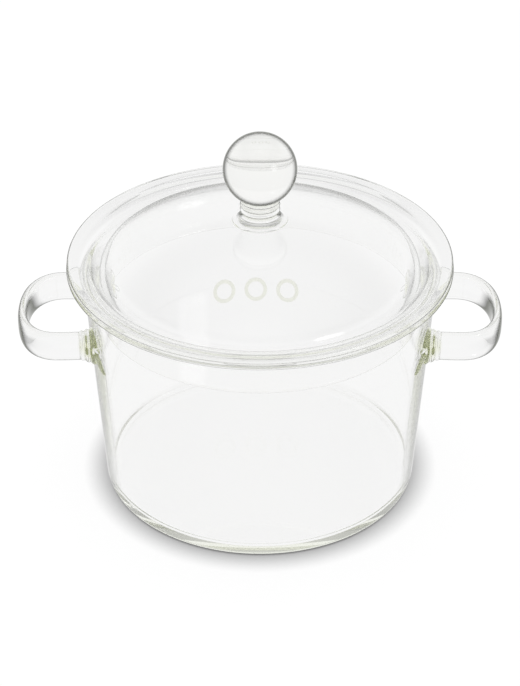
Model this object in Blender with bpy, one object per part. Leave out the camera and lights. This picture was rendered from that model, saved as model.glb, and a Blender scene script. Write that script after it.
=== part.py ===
"""Clear borosilicate cooking pot with a lift-off lid.

A drafted vessel with a flared lip, two loop handles bent from flat oval rod and welded on
with ridged beads of glass, and a low domed lid. The lid's brim lies on the lip, follows its
bend down into the mouth and meets the dome in a valley, from which the collar hangs.
Metres, +Z up. The origin is the centre of the base, on the surface that the pot stands on.
"""

import math

import bmesh
import bpy
from mathutils import Vector

# Gap kept between two pieces that are fused or that rest on each other
SEAT_GAP = 0.0003

# Vessel
BASE_RADIUS = 0.0850
WALL_DRAFT_DEG = 3.74
POT_HEIGHT = 0.1307
WALL = 0.0030
BASE_THICKNESS = 0.0037
HEEL_RADIUS = 0.0028
FLOOR_FILLET = 0.0030
PUNT_RADIUS = 0.0700
PUNT_RISE = 0.0006
PUNT_SLOPE_WIDTH = 0.0018

# Flared lip: the wall bends outwards to a flat flange
LIP_FLAT = 0.0056
LIP_THICKNESS = 0.0030
LIP_BEND = 0.0026

# Lid: flat brim, a wall that drops into the mouth, a low dome with a rounded shoulder, and a collar
BRIM_INSET = 0.0004
BRIM_THICKNESS = 0.0030
BRIM_DROP_DEG = 52.0
LID_WALL = 0.0030
SHOULDER_RADIUS = 0.0107
SHOULDER_LIFT = 0.0004
DOME_RISE = 0.0301
VALLEY_FILLET = 0.0008
BRIM_ROOT_FILLET = 0.0012
COLLAR_CLEARANCE = 0.0045
COLLAR_BOTTOM = 0.1034
COLLAR_SEAM_DROP = 0.0020

# Knob: flared foot, ridged neck and solid ball
FOOT_RADIUS = 0.01435
FOOT_RIM = 0.0018
FOOT_HEIGHT = 0.0026
NECK_RADIUS = 0.0104
NECK_HEIGHT = 0.0081
NECK_RIDGES = 3
NECK_GROOVE = 0.0007
BALL_RADIUS = 0.0191
BALL_FILLET = 0.0012

# Handles: flat oval rod bent to a bowed loop in a level plane
HANDLE_HEIGHT = 0.0955
ROD_TALL = 0.0165
ROD_THICK = 0.0056
ARM_SPREAD = 0.0302
ARM_TOE_IN = 0.0006
ARM_LENGTH = 0.0115
BOW_DEPTH = 0.0202
BOW_SQUARENESS = 2.25
ROD_SQUARENESS = 2.70

# Beads of glass that weld the rod ends to the wall
BEAD_LENGTH = 0.0082
BEAD_TALL = 0.0220
BEAD_THICK = 0.0130
BEAD_RIDGES = 3
BEAD_RIDGE_DEPTH = 0.0006
BEAD_SINK = 0.0060
BEAD_SQUARENESS = 2.2
BEAD_FLARE_POWER = 1.5

# Smoothness of the turned and swept forms
BODY_SIDES = 56
KNOB_SIDES = 32
ROD_SIDES = 12
BEAD_SIDES = 16
ARM_RINGS = 3
BOW_RINGS = 22
BEAD_RINGS = 13
DOME_STEPS = 5
SHOULDER_STEPS = 4
LIP_STEPS = 4
BRIM_STEPS = 3
CORNER_STEPS = 3
FILLET_STEPS = 2
BALL_STEPS = 14
RIDGE_STEPS = 6
FOOT_STEPS = 5

# Share of a length that a fillet may take from each of its ends, just short of a half
ROUND_SHARE = 0.49

SHARP_ANGLE = math.radians(40)
TINY = 1e-9


# Places that follow from the sizes above

def wall_radius(height):
    """Outer radius of the drafted wall at a height above the table."""
    return BASE_RADIUS + height * math.tan(math.radians(WALL_DRAFT_DEG))


def bore_radius(height):
    """Inner radius of the drafted wall."""
    return wall_radius(height) - WALL / math.cos(math.radians(WALL_DRAFT_DEG))


brim_bottom = POT_HEIGHT + SEAT_GAP
brim_top = brim_bottom + BRIM_THICKNESS
collar_outer = bore_radius(COLLAR_BOTTOM) - COLLAR_CLEARANCE
collar_inner = collar_outer - LID_WALL

# The bore bends outwards round this point, and the brim follows one gap inside it
bend_radius = LIP_BEND + LIP_THICKNESS
bend_height = POT_HEIGHT - bend_radius
bend_reach = bore_radius(bend_height) + bend_radius / math.cos(math.radians(WALL_DRAFT_DEG))
lip_radius = bend_reach + LIP_FLAT
brim_radius = lip_radius - BRIM_INSET
brim_bend_under = bend_radius + SEAT_GAP
brim_bend_over = brim_bend_under + BRIM_THICKNESS


def brim_wall_height(bend, radius):
    """Height of the dropping wall's face at a distance from the axis, for a bend radius above it."""
    drop = math.radians(BRIM_DROP_DEG)
    tangent_radius = bend_reach - bend * math.sin(drop)
    tangent_height = bend_height + bend * math.cos(drop)
    return tangent_height - (tangent_radius - radius) * math.tan(drop)


valley_height = brim_wall_height(brim_bend_over, collar_outer)
root_height = brim_wall_height(brim_bend_under, collar_outer)
plate_bottom = root_height - COLLAR_SEAM_DROP
collar_top = plate_bottom - SEAT_GAP

# The dome is part of a ball that runs into the shoulder, an arc that ends upright on the collar
shoulder_reach = collar_outer - SHOULDER_RADIUS
shoulder_height = valley_height + SHOULDER_LIFT
dome_apex = shoulder_height + DOME_RISE
dome_over = ((shoulder_reach ** 2 + DOME_RISE ** 2 - SHOULDER_RADIUS ** 2)
             / (2 * (DOME_RISE - SHOULDER_RADIUS)))
dome_under = dome_over - LID_WALL
dome_centre = dome_apex - dome_over
dome_edge_deg = math.degrees(math.acos(shoulder_reach / (dome_over - SHOULDER_RADIUS)))

foot_top = dome_apex + FOOT_HEIGHT
neck_bottom = foot_top + SEAT_GAP
neck_top = neck_bottom + NECK_HEIGHT
ball_bottom = neck_top + SEAT_GAP
ball_join = ball_bottom + BALL_FILLET
ball_centre = ball_join + math.sqrt(BALL_RADIUS ** 2 - NECK_RADIUS ** 2)

# The beads stand on the wall where the arms meet it
bead_root_x = math.sqrt((wall_radius(HANDLE_HEIGHT) + SEAT_GAP) ** 2 - ARM_SPREAD ** 2)
bead_tip_x = bead_root_x + BEAD_LENGTH
rod_end_x = bead_tip_x + SEAT_GAP
bow_start_x = rod_end_x + ARM_LENGTH


def clear_scene():
    for thing in list(bpy.data.objects):
        bpy.data.objects.remove(thing, do_unlink=True)


def make_glass(name, colour):
    """Clear glass: smooth, not metallic, and seen through."""
    material = bpy.data.materials.new(name)
    material.use_nodes = True
    shader = material.node_tree.nodes["Principled BSDF"]
    shader.inputs["Base Color"].default_value = (*colour, 1.0)
    shader.inputs["Roughness"].default_value = 0.02
    shader.inputs["Metallic"].default_value = 0.0
    shader.inputs["IOR"].default_value = 1.47
    shader.inputs["Transmission Weight"].default_value = 1.0
    return material


def arc(centre, radius, start_deg, end_deg, steps):
    """Points on an arc in the (radius, height) plane."""
    points = []
    for i in range(steps + 1):
        angle = math.radians(start_deg + (end_deg - start_deg) * i / steps)
        points.append((centre[0] + radius * math.cos(angle), centre[1] + radius * math.sin(angle)))
    return points


def rounded(corners, closed=False):
    """Turn (radius, height, fillet, steps) corners into an outline with true fillet arcs."""
    outline = []
    count = len(corners)
    for i, (r, z, fillet, steps) in enumerate(corners):
        here = Vector((r, z))
        is_end = not closed and i in (0, count - 1)
        if is_end or fillet < TINY:
            outline.append((r, z))
            continue
        back = Vector(corners[i - 1][:2]) - here
        ahead = Vector(corners[(i + 1) % count][:2]) - here
        half = back.angle(ahead) / 2
        reach = min(fillet / math.tan(half), ROUND_SHARE * back.length, ROUND_SHARE * ahead.length)
        radius = reach * math.tan(half)
        middle = here + (back.normalized() + ahead.normalized()).normalized() * radius / math.sin(half)
        first = here + back.normalized() * reach - middle
        last = here + ahead.normalized() * reach - middle
        turn = first.angle_signed(last)
        for k in range(steps + 1):
            swing = -turn * k / steps
            x = first.x * math.cos(swing) - first.y * math.sin(swing)
            y = first.x * math.sin(swing) + first.y * math.cos(swing)
            outline.append((middle.x + x, middle.y + y))
    return outline


def finish_mesh(name, mesh_builder, material):
    """Write the bmesh to a named object with outward faces and smooth shading."""
    bmesh.ops.recalc_face_normals(mesh_builder, faces=mesh_builder.faces)
    mesh = bpy.data.meshes.new(name)
    mesh_builder.to_mesh(mesh)
    mesh_builder.free()
    mesh.shade_smooth()
    mesh.set_sharp_from_angle(angle=SHARP_ANGLE)
    mesh.materials.append(material)
    piece = bpy.data.objects.new(name, mesh)
    bpy.context.scene.collection.objects.link(piece)
    return piece


def revolve(name, outline, sides, material, closed=False):
    """Spin an outline about the pot's axis. An open outline starts and ends on the axis."""
    builder = bmesh.new()
    verts = [builder.verts.new((r, 0.0, z)) for r, z in outline]
    edges = [builder.edges.new(pair) for pair in zip(verts, verts[1:])]
    if closed:
        edges.append(builder.edges.new((verts[-1], verts[0])))
    bmesh.ops.spin(builder, geom=verts + edges, cent=(0, 0, 0), axis=(0, 0, 1),
                   angle=math.tau, steps=sides, use_merge=True, use_duplicate=False)
    bmesh.ops.remove_doubles(builder, verts=builder.verts, dist=1e-6)
    return finish_mesh(name, builder, material)


def loft(name, rings, material):
    """Skin a run of equal rings and cap both ends."""
    builder = bmesh.new()
    loops = [[builder.verts.new(point) for point in ring] for ring in rings]
    for one, two in zip(loops, loops[1:]):
        for i in range(len(one)):
            j = (i + 1) % len(one)
            builder.faces.new((one[i], one[j], two[j], two[i]))
    builder.faces.new(loops[0])
    builder.faces.new(loops[-1])
    return finish_mesh(name, builder, material)


def superellipse(half_wide, half_tall, squareness, count):
    """Points round a flat oval, from a true ellipse at 2 towards a box as squareness grows."""
    points = []
    for i in range(count):
        angle = math.tau * (i + 0.5) / count
        c, s = math.cos(angle), math.sin(angle)
        x = math.copysign(abs(c) ** (2 / squareness), c) * half_wide
        z = math.copysign(abs(s) ** (2 / squareness), s) * half_tall
        points.append((x, z))
    return points


# Vessel

def vessel_outline():
    """Base centre, heel, drafted wall, lip and back down the bore, as one unbroken section."""
    round_edge = LIP_THICKNESS * ROUND_SHARE
    lip_under = POT_HEIGHT - LIP_THICKNESS
    floor = BASE_THICKNESS
    corners = [
        (0.0, floor, 0.0, 0),
        (bore_radius(floor), floor, FLOOR_FILLET, CORNER_STEPS),
        (bore_radius(POT_HEIGHT), POT_HEIGHT, bend_radius, LIP_STEPS),
        (lip_radius, POT_HEIGHT, round_edge, CORNER_STEPS),
        (lip_radius, lip_under, round_edge, CORNER_STEPS),
        (wall_radius(lip_under), lip_under, LIP_BEND, LIP_STEPS),
        (wall_radius(0.0), 0.0, HEEL_RADIUS, CORNER_STEPS),
        (PUNT_RADIUS + PUNT_SLOPE_WIDTH, 0.0, 0.0, 0),
        (PUNT_RADIUS, PUNT_RISE, 0.0, 0),
        (0.0, PUNT_RISE, 0.0, 0),
    ]
    return rounded(corners)


def make_vessel(material):
    return revolve("pot_vessel", vessel_outline(), BODY_SIDES, material)


# Handles

def handle_path():
    """Centre line of the bent rod in plan: arm, bow and arm, each point with its direction."""
    points = []
    for i in range(ARM_RINGS):
        s = 1 - i / ARM_RINGS
        points.append(Vector((bow_start_x - s * ARM_LENGTH, -ARM_SPREAD + ARM_TOE_IN * s * s, 0)))
    for i in range(BOW_RINGS + 1):
        angle = math.pi * (i / BOW_RINGS - 0.5)
        c, s = max(math.cos(angle), 0.0), math.sin(angle)
        x = bow_start_x + BOW_DEPTH * c ** (2 / BOW_SQUARENESS)
        y = math.copysign(ARM_SPREAD * abs(s) ** (2 / BOW_SQUARENESS), s)
        points.append(Vector((x, y, 0)))
    for i in range(ARM_RINGS):
        s = (i + 1) / ARM_RINGS
        points.append(Vector((bow_start_x - s * ARM_LENGTH, ARM_SPREAD - ARM_TOE_IN * s * s, 0)))
    return points


def make_handle(name, side, material):
    """One flat oval rod bent to a loop. side is +1 on the right of the pot and -1 on the left."""
    path = handle_path()
    section = superellipse(ROD_THICK / 2, ROD_TALL / 2, ROD_SQUARENESS, ROD_SIDES)
    rings = []
    for i, point in enumerate(path):
        ahead = path[min(i + 1, len(path) - 1)]
        behind = path[max(i - 1, 0)]
        along = (ahead - behind).normalized()
        if i in (0, len(path) - 1):
            along = Vector((1 if i == 0 else -1, 0, 0))
        across = along.cross(Vector((0, 0, 1)))
        ring = []
        for u, v in section:
            spot = point + across * u
            ring.append((side * spot.x, spot.y, HANDLE_HEIGHT + v))
        rings.append(ring)
    return loft(name, rings, material)


def make_wall_cutter():
    """The outside of the wall, one seat gap larger, which trims the beads to the vessel."""
    low, high = HANDLE_HEIGHT - BEAD_TALL, HANDLE_HEIGHT + BEAD_TALL
    outline = [(0.0, high), (wall_radius(high) + SEAT_GAP, high),
               (wall_radius(low) + SEAT_GAP, low), (0.0, low)]
    cutter = revolve("wall_cutter", outline, BODY_SIDES, None)
    cutter.hide_render = True
    cutter.display_type = "WIRE"
    return cutter


def make_bead(name, side, end, cutter, material):
    """Ridged weld from a rod end to the wall. end is -1 for the near arm and +1 for the far one."""
    arm_y = ARM_SPREAD - ARM_TOE_IN
    wall_turn = math.asin(arm_y / wall_radius(HANDLE_HEIGHT))
    rings = []
    for i in range(BEAD_RINGS):
        s = i / (BEAD_RINGS - 1)
        x = bead_tip_x - s * (BEAD_LENGTH + BEAD_SINK)
        spread = min(1.0, s * (BEAD_LENGTH + BEAD_SINK) / BEAD_LENGTH)
        ridge = BEAD_RIDGE_DEPTH * (1 - math.cos(math.tau * BEAD_RIDGES * spread)) / 2
        swell = spread ** BEAD_FLARE_POWER
        half_tall = (ROD_TALL + (BEAD_TALL - ROD_TALL) * swell) / 2 + ridge
        half_thick = (ROD_THICK + (BEAD_THICK - ROD_THICK) * swell) / 2 + ridge
        lean = wall_turn * spread
        ring = []
        for u, v in superellipse(half_thick, half_tall, BEAD_SQUARENESS, BEAD_SIDES):
            px = x - u * math.sin(lean)
            py = arm_y + u * math.cos(lean)
            ring.append((side * px, end * py, HANDLE_HEIGHT + v))
        rings.append(ring)
    bead = loft(name, rings, material)
    trim = bead.modifiers.new("trim_to_wall", "BOOLEAN")
    trim.operation = "DIFFERENCE"
    trim.solver = "EXACT"
    trim.object = cutter
    return bead


# Lid

def dome_height(radius, ball):
    """Height of the dome's ball at a distance from the axis."""
    return dome_centre + math.sqrt(ball ** 2 - radius ** 2)


def cap_corners(dome_radius, shoulder_radius):
    """Corners from the axis over the dome and its shoulder to the upright collar wall."""
    cap = arc((0.0, dome_centre), dome_radius, 90.0, dome_edge_deg, DOME_STEPS)
    shoulder = arc((shoulder_reach, shoulder_height), shoulder_radius, dome_edge_deg, 0.0, SHOULDER_STEPS)
    corners = [(r, z, 0.0, 0) for r, z in cap + shoulder[1:]]
    corners[0] = (0.0, dome_centre + dome_radius, 0.0, 0)
    return corners


def bend_corners(bend):
    """Corners of the brim from its dropping wall round to the flat flange."""
    centre = (bend_reach, bend_height)
    points = arc(centre, bend, 90.0 + BRIM_DROP_DEG, 90.0, BRIM_STEPS)
    return [(r, z, 0.0, 0) for r, z in points]


def lid_outline():
    """Dome, shoulder, valley, brim round its edge, the root of the collar and back under the dome."""
    round_edge = BRIM_THICKNESS * ROUND_SHARE
    corners = cap_corners(dome_over, SHOULDER_RADIUS)
    corners.append((collar_outer, valley_height, VALLEY_FILLET, FILLET_STEPS))
    corners += bend_corners(brim_bend_over)
    corners += [
        (brim_radius, brim_top, round_edge, CORNER_STEPS),
        (brim_radius, brim_bottom, round_edge, CORNER_STEPS),
    ]
    corners += reversed(bend_corners(brim_bend_under))
    corners += [
        (collar_outer, root_height, BRIM_ROOT_FILLET, FILLET_STEPS),
        (collar_outer, plate_bottom, 0.0, 0),
        (collar_inner, plate_bottom, 0.0, 0),
    ]
    corners += reversed(cap_corners(dome_under, SHOULDER_RADIUS - LID_WALL))
    return rounded(corners)


def make_lid_plate(material):
    return revolve("lid_plate", lid_outline(), BODY_SIDES, material)


def make_lid_collar(material):
    """Short open tube under the lid, with a fire-rounded lower edge."""
    round_edge = LID_WALL * ROUND_SHARE
    corners = [
        (collar_outer, collar_top, 0.0, 0),
        (collar_outer, COLLAR_BOTTOM, round_edge, CORNER_STEPS),
        (collar_inner, COLLAR_BOTTOM, round_edge, CORNER_STEPS),
        (collar_inner, collar_top, 0.0, 0),
    ]
    return revolve("lid_collar", rounded(corners, closed=True), BODY_SIDES, material, closed=True)


# Knob

def make_knob_foot(material):
    """Flared foot whose underside follows the dome."""
    ball = dome_over + SEAT_GAP
    seat_radius = FOOT_RADIUS - FOOT_RIM / 2
    rim_low = dome_height(seat_radius, ball)
    round_edge = FOOT_RIM * ROUND_SHARE
    corners = [
        (0.0, foot_top, 0.0, 0),
        (NECK_RADIUS, foot_top, 0.0, 0),
        (FOOT_RADIUS, rim_low + FOOT_RIM, round_edge, CORNER_STEPS),
        (FOOT_RADIUS, rim_low, round_edge, CORNER_STEPS),
    ]
    for i in range(FOOT_STEPS):
        radius = seat_radius * (1 - (i + 0.5) / (FOOT_STEPS + 0.5))
        corners.append((radius, dome_height(radius, ball), 0.0, 0))
    corners.append((0.0, dome_height(0.0, ball), 0.0, 0))
    return revolve("knob_foot", rounded(corners), KNOB_SIDES, material)


def make_knob_neck(material):
    """Neck with one rounded ridge per turn of the flame work."""
    step_height = NECK_HEIGHT / (NECK_RIDGES * RIDGE_STEPS)
    outline = [(0.0, neck_top)]
    for i in range(NECK_RIDGES * RIDGE_STEPS + 1):
        phase = math.tau * i / RIDGE_STEPS
        radius = NECK_RADIUS - NECK_GROOVE * (1 + math.cos(phase)) / 2
        outline.append((radius, neck_top - step_height * i))
    outline.append((0.0, neck_bottom))
    return revolve("knob_neck", outline, KNOB_SIDES, material)


def make_knob_ball(material):
    """Solid ball that runs into a short stub of the neck's size."""
    start = -math.degrees(math.acos(NECK_RADIUS / BALL_RADIUS))
    sphere = arc((0.0, ball_centre), BALL_RADIUS, start, 90.0, BALL_STEPS)
    corners = [(0.0, ball_bottom, 0.0, 0), (NECK_RADIUS, ball_bottom, 0.0, 0),
               (NECK_RADIUS, ball_join, BALL_FILLET, FILLET_STEPS)]
    corners += [(max(r, 0.0), z, 0.0, 0) for r, z in sphere[1:]]
    corners[-1] = (0.0, ball_centre + BALL_RADIUS, 0.0, 0)
    return revolve("knob_ball", rounded(corners), KNOB_SIDES, material)


def main():
    clear_scene()
    make_vessel(make_glass("vessel_glass", (0.93, 0.95, 0.93)))
    cutter = make_wall_cutter()
    for side, where in ((-1, "left"), (1, "right")):
        make_handle("handle_" + where, side, make_glass("rod_glass_" + where, (0.94, 0.96, 0.94)))
        for end, place in ((-1, "near"), (1, "far")):
            weld = make_glass("weld_glass_%s_%s" % (where, place), (0.80, 0.87, 0.70))
            make_bead("weld_%s_%s" % (where, place), side, end, cutter, weld)

    lid = bpy.data.objects.new("lid_lift", None)
    bpy.context.scene.collection.objects.link(lid)
    lid_pieces = [
        make_lid_plate(make_glass("lid_glass", (0.94, 0.96, 0.94))),
        make_lid_collar(make_glass("collar_glass", (0.92, 0.95, 0.92))),
        make_knob_foot(make_glass("foot_glass", (0.93, 0.96, 0.92))),
        make_knob_neck(make_glass("neck_glass", (0.91, 0.95, 0.90))),
        make_knob_ball(make_glass("ball_glass", (0.95, 0.97, 0.95))),
    ]
    for piece in lid_pieces:
        piece.parent = lid


main()
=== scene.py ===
import math

import bmesh
import bpy
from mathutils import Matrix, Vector


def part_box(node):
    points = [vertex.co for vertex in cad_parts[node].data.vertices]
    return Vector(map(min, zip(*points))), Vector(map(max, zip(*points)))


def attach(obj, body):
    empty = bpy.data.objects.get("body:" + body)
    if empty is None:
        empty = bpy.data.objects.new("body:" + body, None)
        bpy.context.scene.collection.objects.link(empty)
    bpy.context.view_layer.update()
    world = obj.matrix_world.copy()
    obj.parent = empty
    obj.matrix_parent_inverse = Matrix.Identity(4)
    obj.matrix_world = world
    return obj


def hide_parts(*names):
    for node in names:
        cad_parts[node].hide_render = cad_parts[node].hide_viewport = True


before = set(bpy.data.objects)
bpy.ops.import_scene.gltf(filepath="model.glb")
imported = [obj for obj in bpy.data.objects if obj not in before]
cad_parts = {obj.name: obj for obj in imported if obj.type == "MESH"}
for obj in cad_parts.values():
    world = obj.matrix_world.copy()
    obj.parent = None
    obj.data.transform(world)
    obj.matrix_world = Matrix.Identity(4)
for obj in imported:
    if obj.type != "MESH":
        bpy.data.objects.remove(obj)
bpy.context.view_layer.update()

print("frame loaded with", len(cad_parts), "nodes")


# Camera, fitted to the circles of the rim, the collar and the base
photoView = dict(
    imageHeight=686,        # pixels
    focalPixels=2000.0,
    lookDownDeg=33.18,
    inFront=0.9020,         # m from the pot's axis
    aboveTable=0.6676,      # m
)


def placeCamera(view):
    lens = bpy.data.cameras.new("photoCamera")
    lens.lens = view["focalPixels"] * lens.sensor_width / view["imageHeight"]
    holder = bpy.data.objects.new("photoCamera", lens)
    holder.location = (0.0, -view["inFront"], view["aboveTable"])
    holder.rotation_euler = (math.radians(90 - view["lookDownDeg"]), 0.0, 0.0)
    bpy.context.scene.collection.objects.link(holder)
    bpy.context.scene.camera = holder


placeCamera(photoView)
print("camera placed")


# Shaping tools: outlines are (radius, height) points that are turned about the pot's axis
fullRound = 0.49            # the most of a sheet's thickness, or of a side, that a fillet takes
creaseDeg = 50              # a fold sharper than this stays an edge
mergeDistance = 1e-6        # m


def arcPoints(centre, radius, startDeg, endDeg, steps):
    points = []
    for i in range(steps + 1):
        angle = math.radians(startDeg + (endDeg - startDeg) * i / steps)
        points.append((centre[0] + radius * math.cos(angle), centre[1] + radius * math.sin(angle)))
    return points


def sharp(points):              # corners without a fillet
    return [(r, z, 0.0, 0) for r, z in points]


def softenCorners(corners):     # each corner is (radius, height, fillet, steps)
    outline = []
    for i, (r, z, fillet, steps) in enumerate(corners):
        here = Vector((r, z))
        if i in (0, len(corners) - 1) or steps == 0:
            outline.append((r, z))
            continue
        back = Vector(corners[i - 1][:2]) - here
        ahead = Vector(corners[i + 1][:2]) - here
        half = back.angle(ahead) / 2
        reach = min(fillet / math.tan(half), fullRound * back.length, fullRound * ahead.length)
        radius = reach * math.tan(half)
        inwards = (back.normalized() + ahead.normalized()).normalized()
        middle = here + inwards * radius / math.sin(half)
        first = here + back.normalized() * reach - middle
        last = here + ahead.normalized() * reach - middle
        turn = first.angle_signed(last)
        for k in range(steps + 1):
            swing = -turn * k / steps
            x = first.x * math.cos(swing) - first.y * math.sin(swing)
            y = first.x * math.sin(swing) + first.y * math.cos(swing)
            outline.append((middle.x + x, middle.y + y))
    return outline


def finishMesh(name, builder, material):
    bmesh.ops.recalc_face_normals(builder, faces=builder.faces)
    mesh = bpy.data.meshes.new(name)
    builder.to_mesh(mesh)
    builder.free()
    mesh.shade_smooth()
    mesh.set_sharp_from_angle(angle=math.radians(creaseDeg))
    mesh.materials.append(material)
    piece = bpy.data.objects.new(name, mesh)
    bpy.context.scene.collection.objects.link(piece)
    return piece


def turnOutline(name, outline, sides, material):
    builder = bmesh.new()
    verts = [builder.verts.new((r, 0.0, z)) for r, z in outline]
    edges = [builder.edges.new(pair) for pair in zip(verts, verts[1:])]
    bmesh.ops.spin(builder, geom=verts + edges, cent=(0, 0, 0), axis=(0, 0, 1),
                   angle=math.tau, steps=sides, use_merge=True, use_duplicate=False)
    bmesh.ops.remove_doubles(builder, verts=builder.verts, dist=mergeDistance)
    return finishMesh(name, builder, material)


def bridgeLoops(builder, one, two):
    for i in range(len(one)):
        j = (i + 1) % len(one)
        builder.faces.new((one[i], one[j], two[j], two[i]))


def skinRings(name, rings, material):       # a rod through the rings, closed at both ends
    builder = bmesh.new()
    loops = [[builder.verts.new(point) for point in ring] for ring in rings]
    for one, two in zip(loops, loops[1:]):
        bridgeLoops(builder, one, two)
    builder.faces.new(loops[0])
    builder.faces.new(loops[-1])
    return finishMesh(name, builder, material)


def flatOval(halfWide, halfTall, squareness, count):
    points = []
    for i in range(count):
        angle = math.tau * (i + 0.5) / count
        c, s = math.cos(angle), math.sin(angle)
        x = math.copysign(abs(c) ** (2 / squareness), c) * halfWide
        z = math.copysign(abs(s) ** (2 / squareness), s) * halfTall
        points.append((x, z))
    return points


# Materials
flatten = (1, 1, 0)             # takes the height out of a place or a direction


def hexColour(text):            # sRGB hex to linear
    channels = [int(text[i:i + 2], 16) / 255 for i in (1, 3, 5)]
    linear = [c / 12.92 if c <= 0.04045 else ((c + 0.055) / 1.055) ** 2.4 for c in channels]
    return (*linear, 1.0)


def addNode(tree, kind, settings=None, links=None):     # a link comes from a socket or a node
    node = tree.nodes.new(kind)
    for key, value in (settings or {}).items():
        if isinstance(key, int) or key in node.inputs:
            node.inputs[key].default_value = value
        else:
            setattr(node, key, value)
    for key, source in (links or {}).items():
        if isinstance(source, bpy.types.Node):
            source = source.outputs[0]
        tree.links.new(source, node.inputs[key])
    return node


def emptyMaterial(name):
    material = bpy.data.materials.new(name)
    material.use_nodes = True
    material.node_tree.nodes.clear()
    return material, material.node_tree


# Borosilicate glass, blown into a mould and flame worked: as clear as water in a sheet, a weak
# yellow-green where one looks along it, with slow waves that bend what stands behind
blownGlass = dict(
    sheet="#ffffff",
    weld="#eceed2",         # the flame leaves a faint olive in the welds
    weldInner=4.0,          # mm from a weld's middle, all olive up to here
    weldOuter=9.0,          # mm, and clear from here
    rimPaintedShade="#16180f",          # painted shade: dark where one looks along a rounded edge
    sheetPaintedShade=(0.70, 0.94),  # where the painted rim shade starts and is full, of the layer weight's facing, on vessel and lid
    rodPaintedShade=(0.46, 0.72),    # the same painted rim shade, wider, on the knob, the handles and the edges of brim and lip
    polished=0.0,           # roughness of the fire polished lip, lid, knob and handles
    moulded=0.03,           # the wall keeps the skin of the mould
    ior=1.474,
    absorbed="#e6eac6",
    absorbDensity=1.8,      # per metre
    waveWidth=22.0,         # mm
    waveHeight=0.006,       # mm
    waveDetail=1.0,
)


def borosilicateGlass(name, look, zones):
    material, tree = emptyMaterial(name)
    place = addNode(tree, "ShaderNodeTexCoord")
    folded = addNode(tree, "ShaderNodeVectorMath", {"operation": "ABSOLUTE"},
                     {0: place.outputs["Object"]})     # all four welds fall on one
    parts = addNode(tree, "ShaderNodeSeparateXYZ", {}, {0: folded})
    flat = addNode(tree, "ShaderNodeVectorMath", {"operation": "MULTIPLY", 1: flatten},
                   {0: place.outputs["Object"]})
    fromAxis = addNode(tree, "ShaderNodeVectorMath", {"operation": "LENGTH"}, {0: flat})
    height, sideways, reach = parts.outputs["Z"], parts.outputs["X"], fromAxis.outputs["Value"]

    # masks, 1 inside a zone: limits first, then the zones that they make together
    masks = {}
    for mask, operation, source, limit in (
        ("knob", "GREATER_THAN", height, zones["knobLow"]),
        ("pastWall", "GREATER_THAN", sideways, zones["rodInner"]),
        ("belowLip", "LESS_THAN", height, zones["rodTop"]),
        ("edge", "GREATER_THAN", reach, zones["edgeInner"]),
        ("insideLip", "LESS_THAN", reach, zones["wallOuter"]),
        ("outsideBase", "GREATER_THAN", reach, zones["wallInner"]),
        ("belowCollar", "LESS_THAN", height, zones["wallTop"]),
    ):
        masks[mask] = addNode(tree, "ShaderNodeMath", {"operation": operation, 1: limit},
                              {0: source})
    for mask, operation, first, second in (
        ("rod", "MULTIPLY", "pastWall", "belowLip"),
        ("knobOrRod", "MAXIMUM", "knob", "rod"),
        ("rounded", "MAXIMUM", "knobOrRod", "edge"),
        ("wallBand", "MULTIPLY", "insideLip", "outsideBase"),
        ("wall", "MULTIPLY", "wallBand", "belowCollar"),
    ):
        masks[mask] = addNode(tree, "ShaderNodeMath", {"operation": operation},
                              {0: masks[first], 1: masks[second]})

    # colour: clear, olive at the welds, and painted shade at the rims that also darkens the
    # reflection
    fromWeld = addNode(tree, "ShaderNodeVectorMath", {"operation": "DISTANCE", 1: zones["weld"]},
                       {0: folded})
    flamed = addNode(tree, "ShaderNodeMapRange", {
        "interpolation_type": "SMOOTHSTEP",
        "From Min": look["weldInner"] / 1000,
        "From Max": look["weldOuter"] / 1000,
        "To Min": 1.0,
        "To Max": 0.0,
    }, {"Value": fromWeld.outputs["Value"]})
    tint = addNode(tree, "ShaderNodeMixRGB", {
        "Color1": hexColour(look["sheet"]),
        "Color2": hexColour(look["weld"]),
    }, {"Fac": flamed})
    # painted shade: the colour turns dark where the surface is seen at a glancing angle
    glancing = addNode(tree, "ShaderNodeLayerWeight")
    sheetPaintedShade, rodPaintedShade = [addNode(tree, "ShaderNodeMapRange", {
        "interpolation_type": "SMOOTHSTEP",
        "From Min": low,
        "From Max": high,
    }, {"Value": glancing.outputs["Facing"]}) for low, high in (look["sheetPaintedShade"], look["rodPaintedShade"])]
    roundedPaintedShade = addNode(tree, "ShaderNodeMath", {"operation": "MULTIPLY"},
                         {0: masks["rounded"], 1: rodPaintedShade})
    rimPaintedShade = addNode(tree, "ShaderNodeMath", {"operation": "MAXIMUM"}, {0: sheetPaintedShade, 1: roundedPaintedShade})
    colour = addNode(tree, "ShaderNodeMixRGB", {"Color2": hexColour(look["rimPaintedShade"])},
                     {"Fac": rimPaintedShade, "Color1": tint})

    # surface and depth
    wave = addNode(tree, "ShaderNodeTexNoise", {
        "Scale": 1000 / look["waveWidth"],
        "Detail": look["waveDetail"],
    }, {"Vector": place.outputs["Object"]})
    bump = addNode(tree, "ShaderNodeBump", {"Strength": 1.0, "Distance": look["waveHeight"] / 1000},
                   {"Height": wave.outputs["Fac"]})
    surface = addNode(tree, "ShaderNodeMapRange", {
        "To Min": look["polished"],
        "To Max": look["moulded"],
    }, {"Value": masks["wall"]})
    glass = addNode(tree, "ShaderNodeBsdfPrincipled", {
        "IOR": look["ior"],
        "Transmission Weight": 1.0,
    }, {
        "Base Color": colour,
        "Specular Tint": colour,
        "Roughness": surface,
        "Normal": bump,
    })
    depth = addNode(tree, "ShaderNodeVolumeAbsorption", {
        "Color": hexColour(look["absorbed"]),
        "Density": look["absorbDensity"],
    })
    addNode(tree, "ShaderNodeOutputMaterial", {}, {"Surface": glass, "Volume": depth})
    return material


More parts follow.
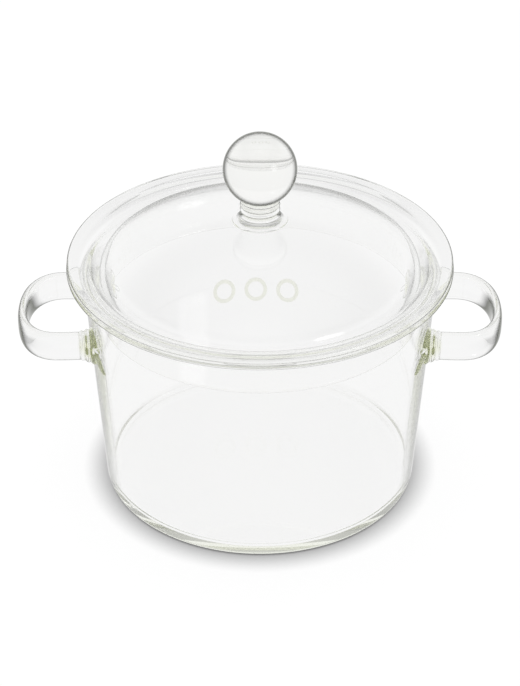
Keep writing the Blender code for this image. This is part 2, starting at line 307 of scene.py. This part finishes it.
# Vessel and lip: the wall leans out a little and bends outwards to a flat lip
vessel = dict(
    baseRadius=0.0850,
    draftDeg=3.74,
    height=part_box("pot_vessel")[1].z,
    lipRadius=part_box("pot_vessel")[1].x,
    wall=0.0030,
    base=0.0037,
    heel=0.0028,
    floorFillet=0.0050,
    lipThickness=0.0030,
    lipBend=0.0026,
    sides=288,
)


def wallRadius(height):
    return vessel["baseRadius"] + height * math.tan(math.radians(vessel["draftDeg"]))


def boreRadius(height):
    return wallRadius(height) - vessel["wall"] / math.cos(math.radians(vessel["draftDeg"]))


def makeVessel(v, material):
    edge = v["lipThickness"] * fullRound
    lipUnder = v["height"] - v["lipThickness"]
    corners = [             # radius, height, fillet and its steps
        (0.0, v["base"], 0.0, 0),
        (boreRadius(v["base"]), v["base"], v["floorFillet"], 10),
        (boreRadius(v["height"]), v["height"], v["lipBend"] + v["lipThickness"], 16),
        (v["lipRadius"], v["height"], edge, 8),
        (v["lipRadius"], lipUnder, edge, 8),
        (wallRadius(lipUnder), lipUnder, v["lipBend"], 12),
        (wallRadius(0.0), 0.0, v["heel"], 10),
        (0.0, 0.0, 0.0, 0),
    ]
    return turnOutline("pot_glass", softenCorners(corners), v["sides"], material)


# Handles: flat oval rod, bent to a bowed loop and welded on with ridged beads
handle = dict(
    height=(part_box("handle_left")[0].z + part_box("handle_left")[1].z) / 2,
    tall=0.0165,
    thick=0.0056,
    spread=0.0302,          # from the loop's middle to an arm
    toeIn=0.0006,
    armLength=0.0115,
    armSteps=8,
    bowDepth=0.0202,
    bowSquareness=2.25,
    bowSteps=64,
    rodSquareness=2.70,
    rodSides=32,
    beadLength=0.0082,
    beadTall=0.0220,
    beadThick=0.0130,
    beadSquareness=2.2,
    beadSwell=1.5,          # above 1 the bead stays slim and then swells towards the wall
    beadSteps=48,
    beadSides=40,
    ridges=3,
    ridgeDepth=0.0006,
    sink=0.0012,            # how far the bead and the rod are melted in
    fingers=[               # glass pulled out over the wall, by direction from the bead and length
        dict(turnDeg=-38, length=0.0172, width=0.0038),
        dict(turnDeg=-142, length=0.0150, width=0.0034),
        dict(turnDeg=8, length=0.0098, width=0.0034),
        dict(turnDeg=172, length=0.0098, width=0.0034),
    ],
    fingerThick=0.0030,
    rootWide=1.25,          # of a finger's width, where it leaves the bead
    narrowing=0.45,         # and how much of it is gone at the tip
    rootThick=1.6,          # the same for its thickness
    thinning=0.7,
    tipFrom=0.72,           # of the length, where the tip starts to round off
    tipLength=0.28,
    tipBlunt=0.02,
    fingerSteps=24,
    fingerSides=20,
)


def armSide(h):                 # from the loop's middle to an arm at its weld
    return h["spread"] - h["toeIn"]


def weldTurn(h):                # how far round the wall a weld sits
    return math.asin(armSide(h) / wallRadius(h["height"]))


def handleCentreLine(h, armStart, armEnd):
    armLength = armEnd - armStart
    points = []
    for i in range(h["armSteps"]):
        s = 1 - i / h["armSteps"]
        points.append(Vector((armEnd - s * armLength, -h["spread"] + h["toeIn"] * s * s, 0)))
    for i in range(h["bowSteps"] + 1):
        angle = math.pi * (i / h["bowSteps"] - 0.5)
        c, s = max(math.cos(angle), 0.0), math.sin(angle)
        x = armEnd + h["bowDepth"] * c ** (2 / h["bowSquareness"])
        y = math.copysign(h["spread"] * abs(s) ** (2 / h["bowSquareness"]), s)
        points.append(Vector((x, y, 0)))
    for i in range(h["armSteps"]):
        s = (i + 1) / h["armSteps"]
        points.append(Vector((armEnd - s * armLength, h["spread"] - h["toeIn"] * s * s, 0)))
    return points


def makeHandle(h, side, armStart, armEnd, material):
    path = handleCentreLine(h, armStart, armEnd)
    rings = []
    for i, point in enumerate(path):
        along = (path[min(i + 1, len(path) - 1)] - path[max(i - 1, 0)]).normalized()
        across = along.cross(Vector((0, 0, 1)))
        ring = []
        for u, v in flatOval(h["thick"] / 2, h["tall"] / 2, h["rodSquareness"], h["rodSides"]):
            spot = point + across * u
            ring.append((side * spot.x, spot.y, h["height"] + v))
        rings.append(ring)
    return skinRings("rod", rings, material)


def makeBead(h, side, end, beadTip, material):
    armY = armSide(h)
    rings = []
    for i in range(h["beadSteps"] + 1):
        s = i / h["beadSteps"]
        x = beadTip - s * (h["beadLength"] + h["sink"])
        spread = min(1.0, s * (h["beadLength"] + h["sink"]) / h["beadLength"])
        ridge = h["ridgeDepth"] * (1 - math.cos(math.tau * h["ridges"] * spread)) / 2
        swell = spread ** h["beadSwell"]
        halfTall = (h["tall"] + (h["beadTall"] - h["tall"]) * swell) / 2 + ridge
        halfThick = (h["thick"] + (h["beadThick"] - h["thick"]) * swell) / 2 + ridge
        lean = weldTurn(h) * spread
        ring = []
        for u, v in flatOval(halfThick, halfTall, h["beadSquareness"], h["beadSides"]):
            ring.append((side * (x - u * math.sin(lean)), end * (armY + u * math.cos(lean)),
                         h["height"] + v))
        rings.append(ring)
    return skinRings("bead", rings, material)


def makeFinger(h, side, end, finger, material):     # a drop of glass that lies along the wall
    turn = math.radians(finger["turnDeg"])
    rings = []
    for i in range(h["fingerSteps"] + 1):
        s = i / h["fingerSteps"]
        along = s * finger["length"]
        z = h["height"] + along * math.sin(turn)
        reach = wallRadius(z)
        middle = weldTurn(h) + along * math.cos(turn) / reach
        intoTip = max(0.0, (s - h["tipFrom"]) / h["tipLength"])
        taper = math.sqrt(max(0.0, 1 - intoTip ** 2)) + h["tipBlunt"]
        halfWide = finger["width"] / 2 * (h["rootWide"] - h["narrowing"] * s) * taper
        halfThick = h["fingerThick"] / 2 * (h["rootThick"] - h["thinning"] * s) * taper
        ring = []
        for k in range(h["fingerSides"]):
            angle = math.tau * (k + 0.5) / h["fingerSides"]
            across = halfWide * math.cos(angle)
            out = halfThick * math.sin(angle)
            around = middle - across * math.sin(turn) / reach
            r = reach + out
            ring.append((side * r * math.cos(around), end * r * math.sin(around),
                         z + across * math.cos(turn)))
        rings.append(ring)
    return skinRings("finger", rings, material)


def fuse(whole, parts):         # melts the parts into the whole, as the flame does
    for part in parts:
        union = whole.modifiers.new("melt", "BOOLEAN")
        union.operation = "UNION"
        union.solver = "EXACT"
        union.object = part
    depsgraph = bpy.context.evaluated_depsgraph_get()
    mesh = bpy.data.meshes.new_from_object(whole.evaluated_get(depsgraph))
    whole.modifiers.clear()
    whole.data = mesh
    for part in parts:
        bpy.data.objects.remove(part, do_unlink=True)
    mesh.shade_smooth()
    mesh.set_sharp_from_angle(angle=math.radians(creaseDeg))


def makePot(material):
    pot = makeVessel(vessel, material)
    beadRoot = math.sqrt(wallRadius(handle["height"]) ** 2 - handle["spread"] ** 2)
    beadTip = beadRoot + handle["beadLength"]
    armEnd = beadTip + handle["armLength"]
    melted = []
    for side in (-1, 1):
        melted.append(makeHandle(handle, side, beadTip - handle["sink"], armEnd, material))
        for end in (-1, 1):
            melted.append(makeBead(handle, side, end, beadTip, material))
            for finger in handle["fingers"]:
                melted.append(makeFinger(handle, side, end, finger, material))
    fuse(pot, melted)
    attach(pot, "pot")
    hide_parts("pot_vessel", "handle_left", "handle_right", "weld_left_near",
                "weld_left_far", "weld_right_near", "weld_right_far")
    return pot


# Lid: flat brim, a wall that drops into the mouth, a valley, a round shoulder and a low dome
lid = dict(
    brimRadius=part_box("lid_plate")[1].x,
    brimThickness=0.0030,
    brimDropDeg=52.0,
    seat=0.0002,            # air between brim and lip
    wall=0.0030,
    shoulder=0.0107,
    shoulderLift=0.0004,
    apex=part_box("lid_plate")[1].z,
    valleyFillet=0.0008,
    rootFillet=0.0012,
    collarOuter=0.0843,
    collarBottom=0.1034,
    footRadius=0.01435,
    footEdge=0.0006,        # the flare ends this high above the dome
    footCurve=1.9,
    footSteps=16,
    footRim=0.0002,         # and meets it in a rim this wide
    domeStart=1.08,         # of the foot's radius
    neckRadius=0.0104,
    neckHeight=0.0084,
    neckRidges=3,
    neckGroove=0.0011,
    ridgeSteps=16,
    ballRadius=0.0191,
    ballTop=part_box("knob_ball")[1].z,
    ballSteps=72,
    domeSteps=40,
    shoulderSteps=24,
    dropSteps=16,
    edgeSteps=8,
    filletSteps=6,
    footRimSteps=4,
    sides=288,
)


def makeLid(d, material):
    brimBottom = vessel["height"] + d["seat"]
    brimTop = brimBottom + d["brimThickness"]
    bend = vessel["lipBend"] + vessel["lipThickness"]
    bendZ = vessel["height"] - bend
    bendR = boreRadius(bendZ) + bend / math.cos(math.radians(vessel["draftDeg"]))
    under = bend + d["seat"]
    over = under + d["brimThickness"]
    drop = math.radians(d["brimDropDeg"])

    def dropHeight(radius):     # where the dropping wall's face meets the collar's radius
        tangentR = bendR - radius * math.sin(drop)
        tangentZ = bendZ + radius * math.cos(drop)
        return tangentZ - (tangentR - d["collarOuter"]) * math.tan(drop)

    valleyZ = dropHeight(over)
    rootZ = dropHeight(under)
    shoulderZ = valleyZ + d["shoulderLift"]
    reach = d["collarOuter"] - d["shoulder"]
    rise = d["apex"] - shoulderZ
    domeOver = (reach ** 2 + rise ** 2 - d["shoulder"] ** 2) / (2 * (rise - d["shoulder"]))
    domeUnder = domeOver - d["wall"]
    domeZ = d["apex"] - domeOver
    edgeDeg = math.degrees(math.acos(reach / (domeOver - d["shoulder"])))

    # knob: ball, ridged neck and flared foot
    ballZ = d["ballTop"] - d["ballRadius"]
    ballDeg = -math.degrees(math.acos(d["neckRadius"] / d["ballRadius"]))
    ball = arcPoints((0, ballZ), d["ballRadius"], 90, ballDeg, d["ballSteps"])
    corners = sharp([(0.0, d["ballTop"])] + ball[1:-1])
    neckTop = ballZ + d["ballRadius"] * math.sin(math.radians(ballDeg))
    neckSteps = d["neckRidges"] * d["ridgeSteps"]
    for i in range(neckSteps + 1):
        groove = d["neckGroove"] * (1 + math.cos(math.tau * i / d["ridgeSteps"])) / 2
        z = neckTop - d["neckHeight"] * i / neckSteps
        corners.append((d["neckRadius"] - groove, z, 0.0, 0))
    footLow = domeZ + math.sqrt(domeOver ** 2 - d["footRadius"] ** 2)
    footTop = neckTop - d["neckHeight"]
    neckRoot = d["neckRadius"] - d["neckGroove"]
    for i in range(1, d["footSteps"] + 1):
        s = i / d["footSteps"]
        fall = 1 - (1 - s) ** d["footCurve"]
        corners.append((neckRoot + (d["footRadius"] - neckRoot) * s ** d["footCurve"],
                        footTop + (footLow + d["footEdge"] - footTop) * fall, 0.0, 0))
    corners.append((d["footRadius"] + d["footRim"], footLow, d["footRim"], d["footRimSteps"]))

    # dome, shoulder and valley
    startDeg = math.degrees(math.acos(d["footRadius"] * d["domeStart"] / domeOver))
    corners += sharp(arcPoints((0, domeZ), domeOver, startDeg, edgeDeg, d["domeSteps"]))
    shoulderOver = arcPoints((reach, shoulderZ), d["shoulder"], edgeDeg, 0, d["shoulderSteps"])
    corners += sharp(shoulderOver[1:])
    corners.append((d["collarOuter"], valleyZ, d["valleyFillet"], d["filletSteps"]))

    # brim, with the wall that drops from it on both faces
    lowDeg = 90 + d["brimDropDeg"]
    corners += sharp(arcPoints((bendR, bendZ), over, lowDeg, 90, d["dropSteps"]))
    edge = d["brimThickness"] * fullRound
    corners.append((d["brimRadius"], brimTop, edge, d["edgeSteps"]))
    corners.append((d["brimRadius"], brimBottom, edge, d["edgeSteps"]))
    corners += sharp(arcPoints((bendR, bendZ), under, 90, lowDeg, d["dropSteps"]))

    # collar, and back under shoulder and dome
    corners.append((d["collarOuter"], rootZ, d["rootFillet"], d["filletSteps"]))
    edge = d["wall"] * fullRound
    corners.append((d["collarOuter"], d["collarBottom"], edge, d["edgeSteps"]))
    corners.append((d["collarOuter"] - d["wall"], d["collarBottom"], edge, d["edgeSteps"]))
    shoulderUnder = d["shoulder"] - d["wall"]
    corners += sharp(arcPoints((reach, shoulderZ), shoulderUnder, 0, edgeDeg, d["shoulderSteps"]))
    dome = arcPoints((0, domeZ), domeUnder, edgeDeg, 90, d["domeSteps"])
    corners += sharp(dome[1:-1] + [(0.0, d["apex"] - d["wall"])])

    piece = turnOutline("lid_glass", softenCorners(corners), d["sides"], material)
    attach(piece, "lid")
    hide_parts("lid_plate", "lid_collar", "knob_foot", "knob_neck", "knob_ball")
    return piece


# Three plain rings, printed side by side on the rear wall
marks = dict(
    height=0.0580,
    middleDeg=-1.6,         # from the rear, towards the right
    stepDeg=12.1,
    outer=0.0067,
    inner=0.0045,
    stretch=1.15,           # taller than wide
    lift=0.00004,           # off the wall
    film=0.00003,
    points=48,
)

# Fired enamel, screen printed in a film so thin that it lets most of the light through: a pale
# yellow-green haze on the glass
firedPrint = dict(
    colour="#fbfcf2",
    roughness=0.30,
    ior=1.5,
)


def enamelPrint(name, look):
    material, tree = emptyMaterial(name)
    paint = addNode(tree, "ShaderNodeBsdfPrincipled", {
        "Base Color": hexColour(look["colour"]),
        "Roughness": look["roughness"],
        "IOR": look["ior"],
        "Transmission Weight": 1.0,
    })
    addNode(tree, "ShaderNodeOutputMaterial", {}, {"Surface": paint})
    return material


def makeMark(m, number, material):
    turn = math.radians(m["middleDeg"] + number * m["stepDeg"])
    section = ((m["outer"], 0), (m["outer"], m["film"]), (m["inner"], m["film"]), (m["inner"], 0))
    loops = []
    for radius, lift in section:
        loop = []
        for i in range(m["points"]):
            angle = math.tau * i / m["points"]
            z = m["height"] + radius * m["stretch"] * math.sin(angle)
            reach = wallRadius(z) + m["lift"] + lift
            around = turn + radius * math.cos(angle) / wallRadius(m["height"])
            loop.append((reach * math.sin(around), reach * math.cos(around), z))
        loops.append(loop)
    builder = bmesh.new()
    verts = [[builder.verts.new(point) for point in loop] for loop in loops]
    for one, two in zip(verts, verts[1:] + verts[:1]):
        bridgeLoops(builder, one, two)
    mark = finishMesh("care_mark_" + ("left", "middle", "right")[number + 1], builder, material)
    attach(mark, "pot")
    return mark


# Where the glass changes: the wall that the mould has touched, the welds, and the rounded glass,
# where the painted shade on the rims reaches furthest
weldReach = math.sqrt(wallRadius(handle["height"]) ** 2 - armSide(handle) ** 2)
weldOut = 0.001             # the olive's middle stands this far outside the wall
glassZones = dict(
    wallInner=vessel["baseRadius"] - 0.0045,        # inside the bore's foot
    wallOuter=0.0935,                               # outside the wall, short of the rods
    wallTop=0.0985,                                 # below the collar, and polished above
    weld=(weldReach + weldOut, armSide(handle), handle["height"]),
    knobLow=lid["apex"] + 0.0002,                   # just above the dome
    edgeInner=vessel["lipRadius"] - 0.0015,         # the rounded edge of brim and lip
    rodInner=0.0940,                                # sideways, beyond the wall
    rodTop=handle["height"] + handle["tall"] / 2 + 0.0001,
)
glass = borosilicateGlass("mouldBlownBorosilicate", blownGlass, glassZones)
pot = makePot(glass)
print("pot made:", len(pot.data.polygons), "faces")
lidPiece = makeLid(lid, glass)
print("lid made:", len(lidPiece.data.polygons), "faces")
enamel = enamelPrint("firedEnamelPrint", firedPrint)
for number in (-1, 0, 1):
    makeMark(marks, number, enamel)
print("marks made")


# Studio: a white table, a backdrop that is white behind the pot and pale grey at the sides and in
# front, a darker room above it, two soft lights overhead and a small one at the right front
studio = dict(
    tableWhite="#f7f7f7",
    tableSize=8.0,
    tableGap=0.0003,        # under the base, so that no two faces share a plane
    tableShare=0.93,        # how much of the table shows as white with only a painted contact shadow, the rest keeps the lamp's shadow
    tableThrough=0.94,      # the same white through the glass
    contactPaintedShadow=0.014,          # how far the painted contact shadow under the heel reaches
    paintedShadowSamples=6,
    tableNear=0.20,         # lit all round up to here
    tableFade=0.16,         # and over this length down to what the far table has
    farTable=0.66,          # of white, at the sides and in front
    backDeg=42,             # white up to this angle from straight behind the pot
    sideDeg=82,             # and down to the sides' share from here
    sweepLowDeg=24,         # the backdrop is plain up to here
    sweepHighDeg=52,        # and has gone here
    sweepGain=0.88,         # how white it is behind the pot
    sideSweep=0.66,         # and how much of that is left at the sides and in front
    room=0.08,              # the light from everywhere else
    lights=[                # behind and in front overhead, and the small one
        dict(azimuthDeg=0, elevationDeg=68, innerDeg=12, outerDeg=40, gain=0.5),
        dict(azimuthDeg=190, elevationDeg=58, innerDeg=12, outerDeg=42, gain=0.45),
        dict(azimuthDeg=131, elevationDeg=23, innerDeg=7, outerDeg=12, gain=2.4),
    ],
    overheadWide=3.0,       # m, a soft light that only the table and the print answer to
    overheadHigh=2.0,       # m
    overheadWatts=62.0,
    bounces=256,            # light runs far along a glass sheet before it leaves
)


def towardsBack(tree, look, flat, low):     # 1 behind the pot, low at the sides and in front
    away = addNode(tree, "ShaderNodeVectorMath", {"operation": "NORMALIZE"}, {0: flat})
    back = addNode(tree, "ShaderNodeVectorMath", {"operation": "DOT_PRODUCT", 1: (0, 1, 0)},
                   {0: away})
    return addNode(tree, "ShaderNodeMapRange", {
        "interpolation_type": "SMOOTHSTEP",
        "From Min": math.cos(math.radians(look["sideDeg"])),
        "From Max": math.cos(math.radians(look["backDeg"])),
        "To Min": low,
        "To Max": 1.0,
    }, {"Value": back.outputs["Value"]})


def lightOnTable(tree, look):
    place = addNode(tree, "ShaderNodeNewGeometry")
    flat = addNode(tree, "ShaderNodeVectorMath", {"operation": "MULTIPLY", 1: flatten},
                   {0: place.outputs["Position"]})
    reach = addNode(tree, "ShaderNodeVectorMath", {"operation": "LENGTH"}, {0: flat})
    near = addNode(tree, "ShaderNodeMapRange", {
        "interpolation_type": "SMOOTHSTEP",
        "From Min": look["tableNear"],
        "From Max": look["tableNear"] + look["tableFade"],
        "To Min": 1.0,
        "To Max": 0.0,
    }, {"Value": reach.outputs["Value"]})
    sector = towardsBack(tree, look, flat, look["farTable"])
    return addNode(tree, "ShaderNodeMath", {"operation": "MAXIMUM"}, {0: near, 1: sector})


def makeTable(look):            # white to the camera and the glass, keeps the lamp's shadow, and has a painted contact shadow
    bpy.ops.mesh.primitive_plane_add(size=look["tableSize"], location=(0, 0, -look["tableGap"]))
    table = bpy.context.object
    table.name = "table"
    material, tree = emptyMaterial("whiteTable")
    paint = addNode(tree, "ShaderNodeBsdfDiffuse", {"Color": hexColour(look["tableWhite"])})
    path = addNode(tree, "ShaderNodeLightPath")
    through = addNode(tree, "ShaderNodeMath", {"operation": "MAXIMUM"},
                      {0: path.outputs["Is Transmission Ray"], 1: path.outputs["Is Glossy Ray"]})
    seen = addNode(tree, "ShaderNodeMath", {"operation": "MAXIMUM"},
                   {0: path.outputs["Is Camera Ray"], 1: through})
    seenShare = addNode(tree, "ShaderNodeMath", {"operation": "MULTIPLY", 1: look["tableShare"]},
                        {0: seen})
    share = addNode(tree, "ShaderNodeMath", {"operation": "MAXIMUM"}, {0: through, 1: seenShare})
    dim = addNode(tree, "ShaderNodeMath", {"operation": "MULTIPLY", 1: look["tableThrough"]},
                  {0: lightOnTable(tree, look)})
    behindGlass = addNode(tree, "ShaderNodeMath", {"operation": "MULTIPLY"}, {0: through, 1: dim})
    # painted contact shadow: ambient occlusion darkens the white that the camera sees near the heel
    under = addNode(tree, "ShaderNodeAmbientOcclusion", {
        "samples": look["paintedShadowSamples"],
        "Distance": look["contactPaintedShadow"],
    })
    cameraWhitePaintedShadow = addNode(tree, "ShaderNodeMath", {"operation": "MULTIPLY"},
                       {0: path.outputs["Is Camera Ray"], 1: under.outputs["AO"]})
    lit = addNode(tree, "ShaderNodeMath", {"operation": "ADD"}, {0: cameraWhitePaintedShadow, 1: behindGlass})
    white = addNode(tree, "ShaderNodeEmission", {"Color": (1, 1, 1, 1)}, {"Strength": lit})
    mix = addNode(tree, "ShaderNodeMixShader", {}, {0: share, 1: paint, 2: white})
    addNode(tree, "ShaderNodeOutputMaterial", {}, {"Surface": mix})
    table.data.materials.append(material)


def makeRoom(look):             # white to the camera, and the studio's lights to the glass
    world = bpy.data.worlds.new("studioRoom")
    bpy.context.scene.world = world
    world.use_nodes = True
    tree = world.node_tree
    tree.nodes.clear()
    direction = addNode(tree, "ShaderNodeTexCoord").outputs["Generated"]
    flat = addNode(tree, "ShaderNodeVectorMath", {"operation": "MULTIPLY", 1: flatten},
                   {0: direction})
    sector = towardsBack(tree, look, flat, look["sideSweep"])
    parts = addNode(tree, "ShaderNodeSeparateXYZ", {}, {0: direction})
    sweep = addNode(tree, "ShaderNodeMapRange", {
        "interpolation_type": "SMOOTHSTEP",
        "From Min": math.sin(math.radians(look["sweepLowDeg"])),
        "From Max": math.sin(math.radians(look["sweepHighDeg"])),
        "To Min": look["sweepGain"],
        "To Max": 0.0,
    }, {"Value": parts.outputs["Z"]})
    backdrop = addNode(tree, "ShaderNodeMath", {"operation": "MULTIPLY"}, {0: sector, 1: sweep})
    total = addNode(tree, "ShaderNodeMath", {"operation": "ADD", 1: look["room"]}, {0: backdrop})
    for light in look["lights"]:
        azimuth = math.radians(light["azimuthDeg"])
        elevation = math.radians(light["elevationDeg"])
        towards = (math.sin(azimuth) * math.cos(elevation), math.cos(azimuth) * math.cos(elevation),
                   math.sin(elevation))
        facing = addNode(tree, "ShaderNodeVectorMath", {"operation": "DOT_PRODUCT", 1: towards},
                         {0: direction})
        soft = addNode(tree, "ShaderNodeMapRange", {
            "interpolation_type": "SMOOTHSTEP",
            "From Min": math.cos(math.radians(light["outerDeg"])),
            "From Max": math.cos(math.radians(light["innerDeg"])),
            "To Min": 0.0,
            "To Max": light["gain"],
        }, {"Value": facing.outputs["Value"]})
        total = addNode(tree, "ShaderNodeMath", {"operation": "ADD"}, {0: soft, 1: total})
    path = addNode(tree, "ShaderNodeLightPath")
    shown = addNode(tree, "ShaderNodeMath", {"operation": "MAXIMUM"},
                    {0: path.outputs["Is Camera Ray"], 1: total})
    sky = addNode(tree, "ShaderNodeBackground", {"Color": (1, 1, 1, 1)}, {"Strength": shown})
    addNode(tree, "ShaderNodeOutputWorld", {}, {"Surface": sky})


def makeOverhead(look):
    lamp = bpy.data.lights.new("overhead", "AREA")
    lamp.size = look["overheadWide"]
    lamp.energy = look["overheadWatts"]
    holder = bpy.data.objects.new("overhead", lamp)
    holder.location = (0.0, 0.0, look["overheadHigh"])
    holder.visible_camera = False
    holder.visible_glossy = False
    holder.visible_transmission = False
    bpy.context.scene.collection.objects.link(holder)


makeTable(studio)
makeRoom(studio)
makeOverhead(studio)

scene = bpy.context.scene
scene.view_settings.view_transform = "Standard"
scene.cycles.max_bounces = studio["bounces"]
scene.cycles.glossy_bounces = studio["bounces"]
scene.cycles.transmission_bounces = studio["bounces"]
print("studio made")
